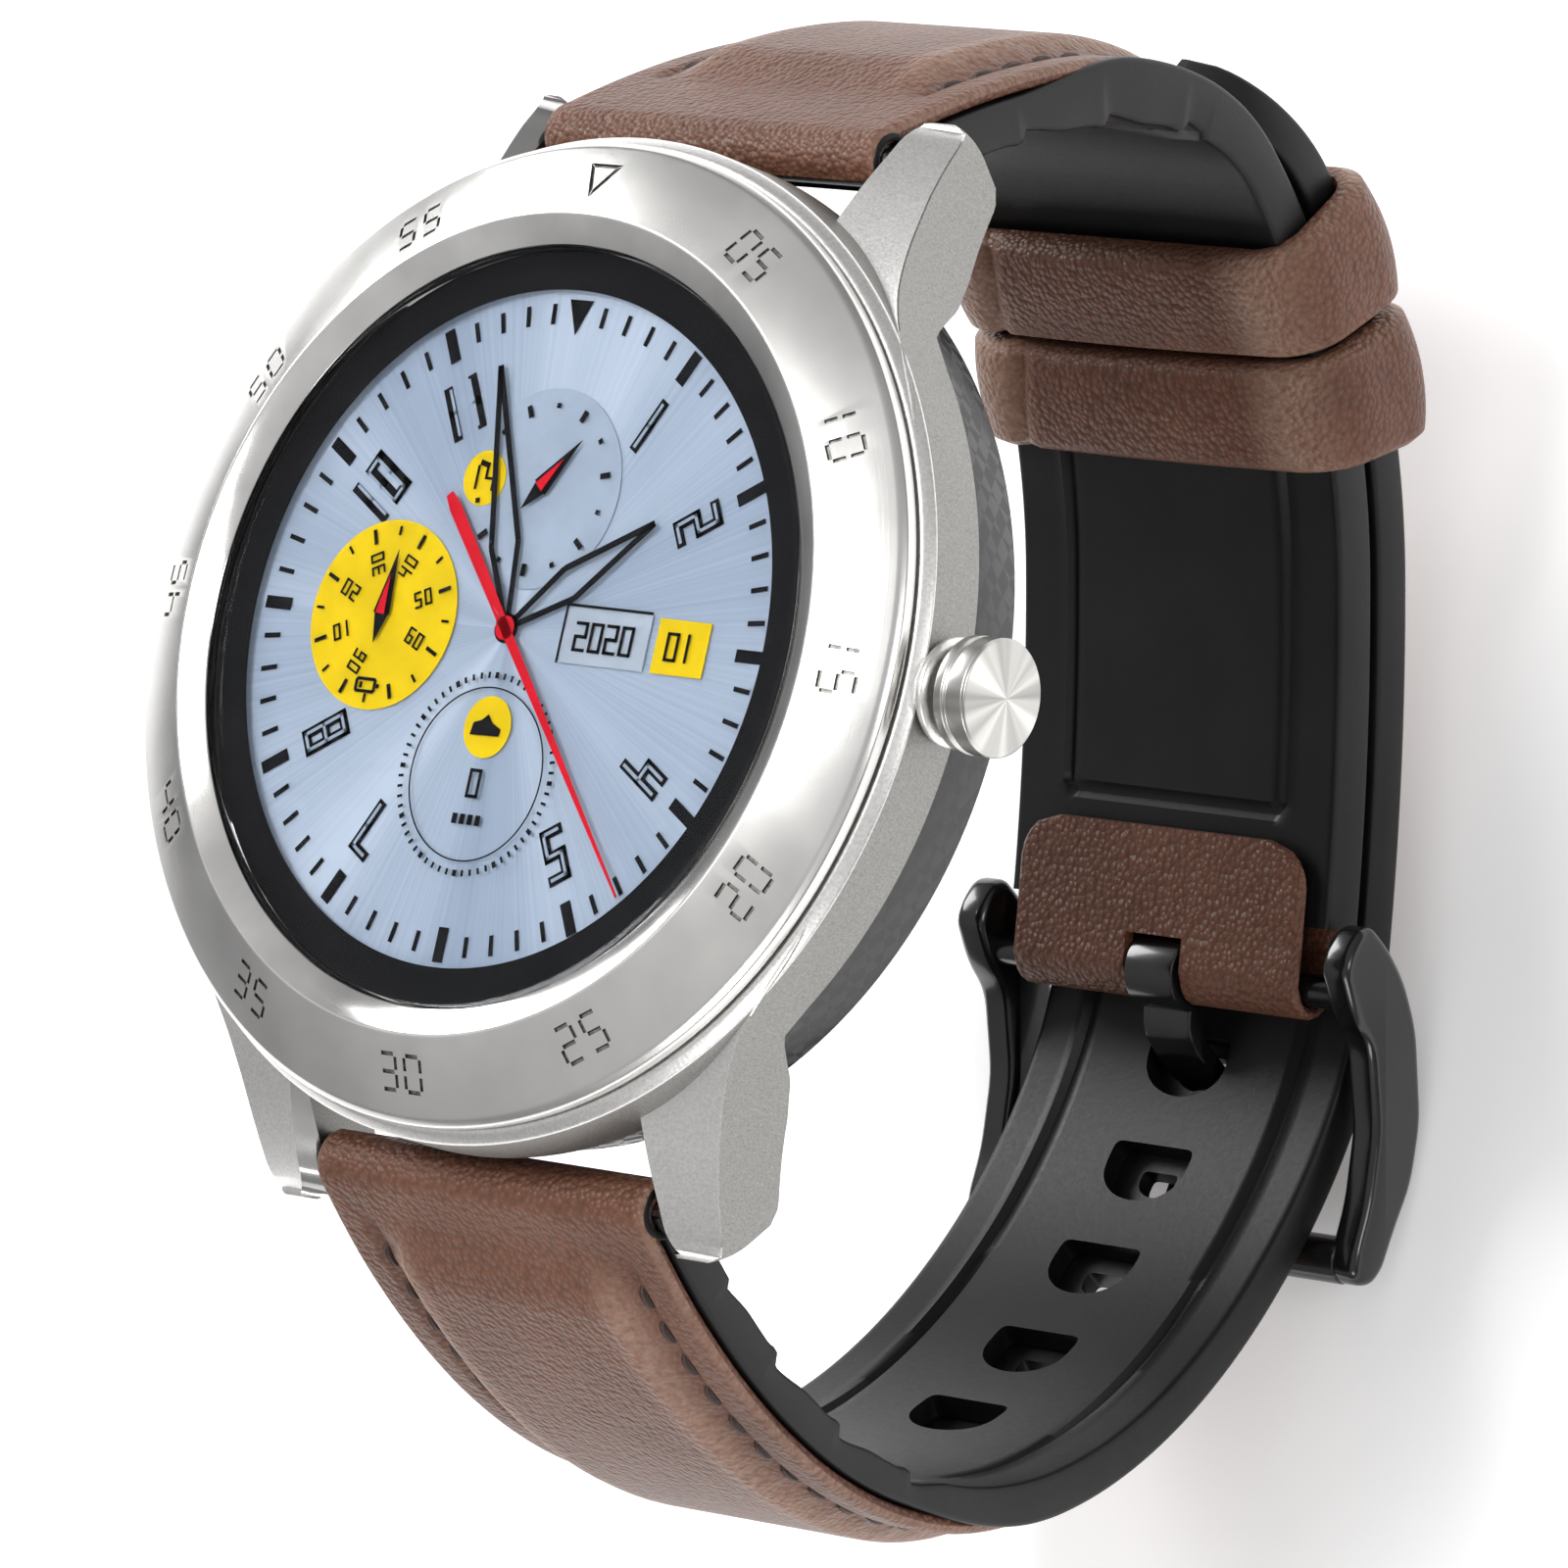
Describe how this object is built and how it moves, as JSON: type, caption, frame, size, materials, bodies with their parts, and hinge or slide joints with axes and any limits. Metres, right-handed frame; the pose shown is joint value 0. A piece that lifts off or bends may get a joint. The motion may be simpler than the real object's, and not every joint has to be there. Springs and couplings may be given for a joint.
{
  "type": "smartwatch",
  "caption": "Round smartwatch with a domed steel bezel, push crown, angled lugs and a leather-faced rubber strap closed by a pin buckle and sliding keepers.",
  "frame": {"origin": "on the dial's axis, in the flat outer face of the case back, which lies on the wrist", "axes": "+Z out through the dial, +Y towards 12 o'clock, +X towards the crown at 3 o'clock"},
  "size_m": [0.0528, 0.0742, 0.0616],
  "materials": {
    "polished_steel": "polished steel with fine engraving",
    "blasted_steel": "bead-blasted steel",
    "black_metal": "gloss black plating",
    "back_composite": "black woven-fibre composite",
    "strap_rubber": "matte black rubber",
    "strap_leather": "waxed brown leather with stitching",
    "seal_rubber": "moulded seal",
    "cover_glass": "clear cover glass",
    "window_glass": "dark sensor glass",
    "display": "lit dial in silver blue",
    "inner_plastic": "moulded plastic",
    "circuit_board": "green circuit board",
    "gold_contact": "gold plated"
  },
  "bodies": {
    "case": {"bezel": "polished_steel", "bezel_gasket": "seal_rubber", "glass": "cover_glass", "glass_gasket": "seal_rubber", "display_panel": "display", "inner_chassis": "inner_plastic", "case_screw_1": "polished_steel", "case_screw_2": "polished_steel", "case_screw_3": "polished_steel", "case_screw_4": "polished_steel", "charge_contact_1": "gold_contact", "charge_contact_2": "gold_contact", "charge_magnet_1": "polished_steel", "charge_magnet_2": "polished_steel", "mid_case": "blasted_steel", "case_back": "back_composite", "back_gasket": "seal_rubber", "sensor_window": "window_glass", "main_board": "circuit_board", "battery": "inner_plastic", "sensor_board": "circuit_board", "vibration_motor": "polished_steel", "speaker": "inner_plastic", "microphone": "inner_plastic", "crown_tube": "polished_steel", "crown_switch": "inner_plastic", "bar_12_tube": "polished_steel", "bar_12_pin_right": "polished_steel", "bar_12_pin_left": "polished_steel", "bar_6_tube": "polished_steel", "bar_6_pin_right": "polished_steel", "bar_6_pin_left": "polished_steel"},
    "crown_pusher": {"press_collar": "inner_plastic"},
    "crown": {"crown_cap": "polished_steel", "crown_stem": "polished_steel", "crown_seal": "seal_rubber", "stem_clip": "polished_steel"},
    "strap_12_upper": {"strap_12_liner_upper": "strap_rubber", "strap_12_leather_upper": "strap_leather"},
    "strap_12_back": {"strap_12_liner_back": "strap_rubber", "strap_12_leather_back": "strap_leather"},
    "strap_6_upper": {"strap_6_liner_upper": "strap_rubber", "strap_6_leather_upper": "strap_leather"},
    "strap_6_back": {"strap_6_liner_back": "strap_rubber", "strap_6_leather_back": "strap_leather"},
    "buckle": {"buckle_frame": "black_metal", "buckle_bar": "black_metal"},
    "tongue": {"buckle_tongue": "black_metal"},
    "keeper_low": {"keeper_lower": "strap_leather"},
    "keeper_up": {"keeper_upper": "strap_leather"}
  },
  "joints": [
    {"name": "crown_press", "type": "slide", "parent": "case", "child": "crown_pusher", "axis": [-1, 0, 0], "range_m": [0, 0.0005], "stiffness_N_per_m": 300},
    {"name": "crown_turn", "type": "hinge", "parent": "crown_pusher", "child": "crown", "pos_m": [0, 0, 0.006], "axis": [1, 0, 0], "continuous": true},
    {"name": "strap_12_hinge", "type": "hinge", "parent": "case", "child": "strap_12_upper", "pos_m": [0, 0.0256, 0.0022], "axis": [1, 0, 0], "range_deg": [-6, 6], "stiffness_Nm_per_rad": 0.4},
    {"name": "strap_12_flex", "type": "hinge", "parent": "strap_12_upper", "child": "strap_12_back", "pos_m": [0, 0.03339, -0.0221], "axis": [1, 0, 0], "range_deg": [-5, 5]},
    {"name": "strap_6_hinge", "type": "hinge", "parent": "case", "child": "strap_6_upper", "pos_m": [0, -0.0256, 0.0022], "axis": [1, 0, 0], "range_deg": [-6.5, 6.5]},
    {"name": "strap_6_flex", "type": "hinge", "parent": "strap_6_upper", "child": "strap_6_back", "pos_m": [0, -0.0357, -0.02217], "axis": [1, 0, 0], "range_deg": [-5, 5]},
    {"name": "buckle_swing", "type": "hinge", "parent": "strap_12_back", "child": "buckle", "pos_m": [0, -0.0056, -0.0433], "axis": [1, 0, 0], "range_deg": [0, 6]},
    {"name": "tongue_lift", "type": "hinge", "parent": "buckle", "child": "tongue", "pos_m": [0, -0.0056, -0.0433], "axis": [1, 0, 0], "range_deg": [0, 5]},
    {"name": "keeper_lower_slide", "type": "hinge", "parent": "strap_12_back", "child": "keeper_low", "pos_m": [0, 0.00234, -0.00464], "axis": [1, 0, 0], "range_deg": [-9, 0]},
    {"name": "keeper_upper_slide", "type": "hinge", "parent": "strap_12_back", "child": "keeper_up", "pos_m": [0, 0.00234, -0.00464], "axis": [1, 0, 0], "range_deg": [0, 5]}
  ],
  "couplings": [
    {"joint": "strap_12_flex", "follows": "strap_12_hinge", "ratio": -0.7414},
    {"joint": "strap_6_hinge", "follows": "strap_12_hinge", "ratio": 0.998},
    {"joint": "strap_6_flex", "follows": "strap_12_hinge", "ratio": -0.7394}
  ]
}
